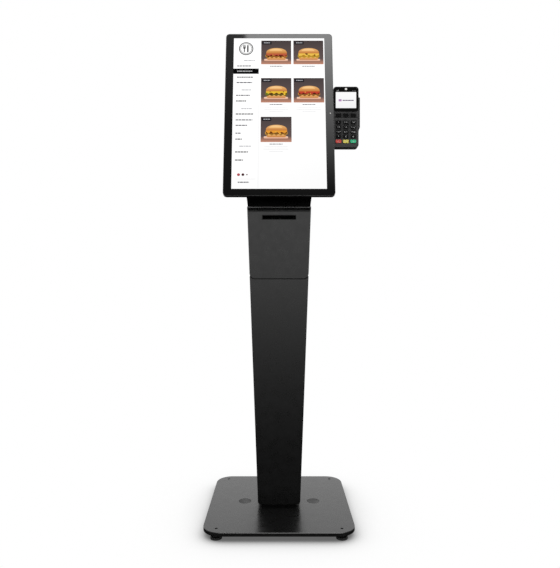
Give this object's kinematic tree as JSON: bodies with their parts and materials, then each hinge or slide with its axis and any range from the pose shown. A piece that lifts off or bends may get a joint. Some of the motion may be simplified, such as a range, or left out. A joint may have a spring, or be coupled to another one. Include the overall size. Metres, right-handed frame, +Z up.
{
  "type": "touchscreen kiosk",
  "caption": "Free-standing ordering kiosk: square base on feet, tapered steel column with receipt printer flap, tilting portrait touch display and side card terminal with keypad.",
  "frame": {"origin": "on the floor, under the centre of the square base plate", "axes": "+Z up, +X to the right of a person using the kiosk, +Y away from that person"},
  "size_m": [0.4524, 0.42, 1.4505],
  "materials": {
    "stand_powder_coat": "fine-textured matt black powder coat",
    "dark_steel": "black painted steel",
    "zinc_steel": "zinc-plated steel",
    "black_plastic": "fine-grained moulded black plastic",
    "cable_rubber": "soft black cable jacket",
    "roller_rubber": "ground rubber",
    "receipt_paper": "white thermal paper",
    "display_black": "satin black paint",
    "cover_glass": "clear cover glass with a black printed border",
    "lcd_screen": "lit screen",
    "circuit_board": "green solder resist",
    "terminal_grey_plastic": "dark grey moulded plastic",
    "terminal_lens": "glossy black lens",
    "key_black": "black moulded key",
    "key_red": "red moulded key",
    "key_yellow": "yellow moulded key",
    "key_green": "green moulded key"
  },
  "bodies": {
    "stand": {"base_plate": "stand_powder_coat", "anchor_hole_plugs": "black_plastic", "column_plinth": "dark_steel", "base_bolts": "zinc_steel", "column_rear_shell": "stand_powder_coat", "column_front_cover": "stand_powder_coat", "rear_service_cover": "stand_powder_coat", "power_inlet": "black_plastic", "power_supply": "black_plastic", "display_cable": "cable_rubber", "printer_shelf": "zinc_steel", "printer_body": "black_plastic", "door_pivot_pins": "zinc_steel", "door_hinge_plates": "zinc_steel", "door_magnets": "dark_steel", "neck_front_cover": "stand_powder_coat", "head_bracket": "stand_powder_coat", "tilt_pin": "zinc_steel"},
    "door": {"printer_door": "stand_powder_coat", "receipt_slot_bezel": "black_plastic", "door_pivot_bushes": "black_plastic"},
    "display": {"display_frame": "display_black", "touch_glass": "cover_glass", "lcd_panel": "lcd_screen", "display_rear_housing": "display_black", "main_board": "circuit_board", "display_bracket": "dark_steel", "display_screws": "zinc_steel", "terminal_arm": "dark_steel", "terminal_pin": "zinc_steel"},
    "card_terminal": {"terminal_cradle": "black_plastic", "terminal_lower_case": "terminal_grey_plastic", "terminal_upper_case": "terminal_grey_plastic", "terminal_screen_lens": "terminal_lens", "terminal_swipe_rail": "black_plastic"},
    "printer_lid_body": {"printer_lid": "black_plastic"},
    "platen": {"platen_roller": "roller_rubber"},
    "roll": {"paper_roll": "receipt_paper"},
    "foot_front_left": {"foot_front_left": "dark_steel"},
    "foot_front_right": {"foot_front_right": "dark_steel"},
    "foot_rear_left": {"foot_rear_left": "dark_steel"},
    "foot_rear_right": {"foot_rear_right": "dark_steel"},
    "key_1": {"key_1": "key_black"},
    "key_2": {"key_2": "key_black"},
    "key_3": {"key_3": "key_black"},
    "key_4": {"key_4": "key_black"},
    "key_5": {"key_5": "key_black"},
    "key_6": {"key_6": "key_black"},
    "key_7": {"key_7": "key_black"},
    "key_8": {"key_8": "key_black"},
    "key_9": {"key_9": "key_black"},
    "key_star": {"key_star": "key_black"},
    "key_0": {"key_0": "key_black"},
    "key_hash": {"key_hash": "key_black"},
    "key_cancel": {"key_cancel": "key_red"},
    "key_clear": {"key_clear": "key_yellow"},
    "key_enter": {"key_enter": "key_green"},
    "key_menu_left": {"key_menu_left": "key_black"},
    "key_menu_middle": {"key_menu_middle": "key_black"},
    "key_menu_right": {"key_menu_right": "key_black"}
  },
  "joints": [
    {"name": "card_terminal_tilt", "type": "hinge", "parent": "display", "child": "card_terminal", "pos_m": [0.2, -0.00483, 1.18637], "axis": [1, 0, 0], "range_deg": [-15, 15]},
    {"name": "display_tilt", "type": "hinge", "parent": "stand", "child": "display", "pos_m": [0, -0.01248, 1.18382], "axis": [1, 0, 0], "range_deg": [-10, 5]},
    {"name": "door_hinge", "type": "hinge", "parent": "stand", "child": "door", "pos_m": [0, -0.07409, 0.905], "axis": [-1, 0, 0], "range_deg": [0, 80]},
    {"name": "foot_front_left_turn", "type": "hinge", "parent": "stand", "child": "foot_front_left", "pos_m": [-0.172, -0.1835, 0], "axis": [0, 0, 1], "continuous": true},
    {"name": "foot_front_right_turn", "type": "hinge", "parent": "stand", "child": "foot_front_right", "pos_m": [0.172, -0.1835, 0], "axis": [0, 0, 1], "continuous": true},
    {"name": "foot_rear_left_turn", "type": "hinge", "parent": "stand", "child": "foot_rear_left", "pos_m": [-0.172, 0.1835, 0], "axis": [0, 0, 1], "continuous": true},
    {"name": "foot_rear_right_turn", "type": "hinge", "parent": "stand", "child": "foot_rear_right", "pos_m": [0.172, 0.1835, 0], "axis": [0, 0, 1], "continuous": true},
    {"name": "key_1_press", "type": "slide", "parent": "card_terminal", "child": "key_1", "axis": [0, 1, 0], "range_m": [0, 0.001], "stiffness_N_per_m": 400},
    {"name": "key_2_press", "type": "slide", "parent": "card_terminal", "child": "key_2", "axis": [0, 1, 0], "range_m": [0, 0.001], "stiffness_N_per_m": 400},
    {"name": "key_3_press", "type": "slide", "parent": "card_terminal", "child": "key_3", "axis": [0, 1, 0], "range_m": [0, 0.001], "stiffness_N_per_m": 400},
    {"name": "key_4_press", "type": "slide", "parent": "card_terminal", "child": "key_4", "axis": [0, 1, 0], "range_m": [0, 0.001], "stiffness_N_per_m": 400},
    {"name": "key_5_press", "type": "slide", "parent": "card_terminal", "child": "key_5", "axis": [0, 1, 0], "range_m": [0, 0.001], "stiffness_N_per_m": 400},
    {"name": "key_6_press", "type": "slide", "parent": "card_terminal", "child": "key_6", "axis": [0, 1, 0], "range_m": [0, 0.001], "stiffness_N_per_m": 400},
    {"name": "key_7_press", "type": "slide", "parent": "card_terminal", "child": "key_7", "axis": [0, 1, 0], "range_m": [0, 0.001], "stiffness_N_per_m": 400},
    {"name": "key_8_press", "type": "slide", "parent": "card_terminal", "child": "key_8", "axis": [0, 1, 0], "range_m": [0, 0.001], "stiffness_N_per_m": 400},
    {"name": "key_9_press", "type": "slide", "parent": "card_terminal", "child": "key_9", "axis": [0, 1, 0], "range_m": [0, 0.001], "stiffness_N_per_m": 400},
    {"name": "key_star_press", "type": "slide", "parent": "card_terminal", "child": "key_star", "axis": [0, 1, 0], "range_m": [0, 0.001], "stiffness_N_per_m": 400},
    {"name": "key_0_press", "type": "slide", "parent": "card_terminal", "child": "key_0", "axis": [0, 1, 0], "range_m": [0, 0.001], "stiffness_N_per_m": 400},
    {"name": "key_hash_press", "type": "slide", "parent": "card_terminal", "child": "key_hash", "axis": [0, 1, 0], "range_m": [0, 0.001], "stiffness_N_per_m": 400},
    {"name": "key_cancel_press", "type": "slide", "parent": "card_terminal", "child": "key_cancel", "axis": [0, 1, 0], "range_m": [0, 0.001], "stiffness_N_per_m": 400},
    {"name": "key_clear_press", "type": "slide", "parent": "card_terminal", "child": "key_clear", "axis": [0, 1, 0], "range_m": [0, 0.001], "stiffness_N_per_m": 400},
    {"name": "key_enter_press", "type": "slide", "parent": "card_terminal", "child": "key_enter", "axis": [0, 1, 0], "range_m": [0, 0.001], "stiffness_N_per_m": 400},
    {"name": "key_menu_left_press", "type": "slide", "parent": "card_terminal", "child": "key_menu_left", "axis": [0, 1, 0], "range_m": [0, 0.001], "stiffness_N_per_m": 400},
    {"name": "key_menu_middle_press", "type": "slide", "parent": "card_terminal", "child": "key_menu_middle", "axis": [0, 1, 0], "range_m": [0, 0.001], "stiffness_N_per_m": 400},
    {"name": "key_menu_right_press", "type": "slide", "parent": "card_terminal", "child": "key_menu_right", "axis": [0, 1, 0], "range_m": [0, 0.001], "stiffness_N_per_m": 400},
    {"name": "paper_roll_spin", "type": "hinge", "parent": "stand", "child": "roll", "pos_m": [0, -0.009, 0.7915], "axis": [1, 0, 0], "continuous": true},
    {"name": "platen_roller_spin", "type": "hinge", "parent": "printer_lid_body", "child": "platen", "pos_m": [0, -0.038, 0.851], "axis": [1, 0, 0], "continuous": true},
    {"name": "printer_lid_hinge", "type": "hinge", "parent": "stand", "child": "printer_lid_body", "pos_m": [0, 0.035, 0.8625], "axis": [-1, 0, 0], "range_deg": [0, 30]}
  ]
}
